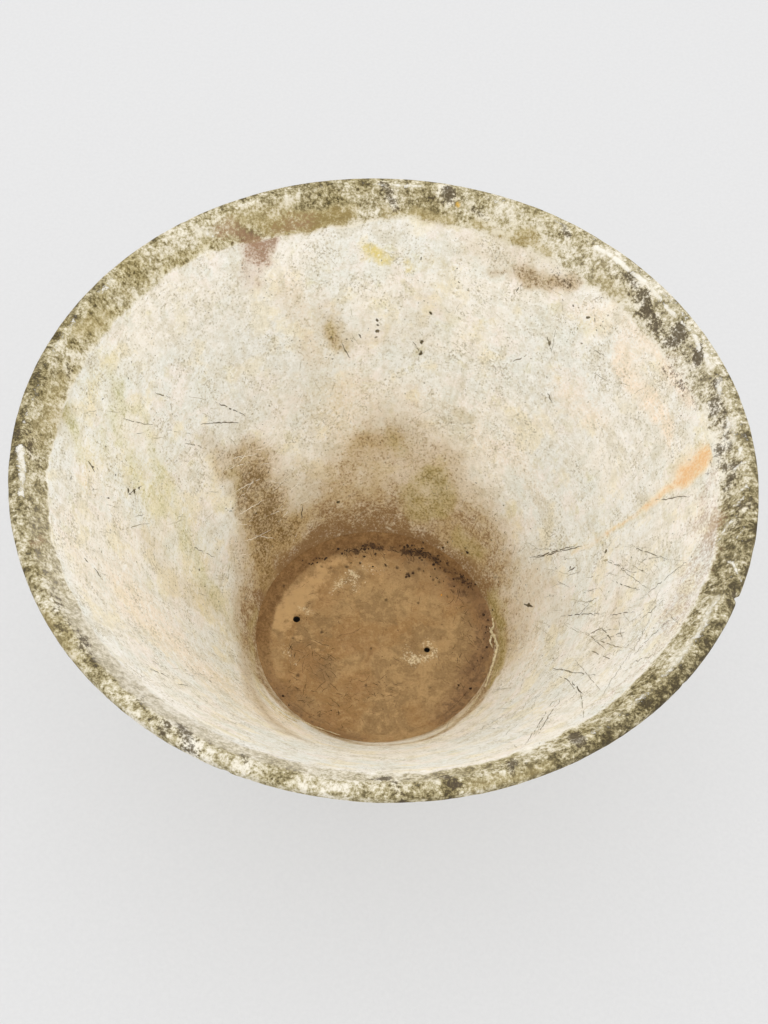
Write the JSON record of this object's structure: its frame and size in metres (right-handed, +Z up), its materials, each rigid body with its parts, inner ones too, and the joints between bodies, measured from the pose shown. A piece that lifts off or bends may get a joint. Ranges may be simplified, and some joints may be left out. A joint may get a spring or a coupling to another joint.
{
  "type": "cone planter",
  "caption": "Open conical floor planter of weathered fibre cement, wide at its folded rim and narrow at its flat foot, with a drained floor for soil and plants.",
  "frame": {"origin": "on the ground, on the planter's axis, under the centre of its foot", "axes": "+Z up along the axis of the cone; the drain holes lie on a line through the axis, about 11 degrees from X, the further one towards -X"},
  "size_m": [0.6, 0.6, 0.334],
  "materials": {
    "cement": "weathered, dry and matt, cream with olive and brown stains",
    "rim_cement": "crusted with olive, grey and black lichen, scraped pale along the crest",
    "silt": "dried tan-brown silt, matt"
  },
  "bodies": {
    "root": {"cone_wall": "cement", "rim_collar": "rim_cement", "floor_disc": "cement", "corner_bead": "cement", "silt_crust": "silt"}
  },
  "joints": []
}
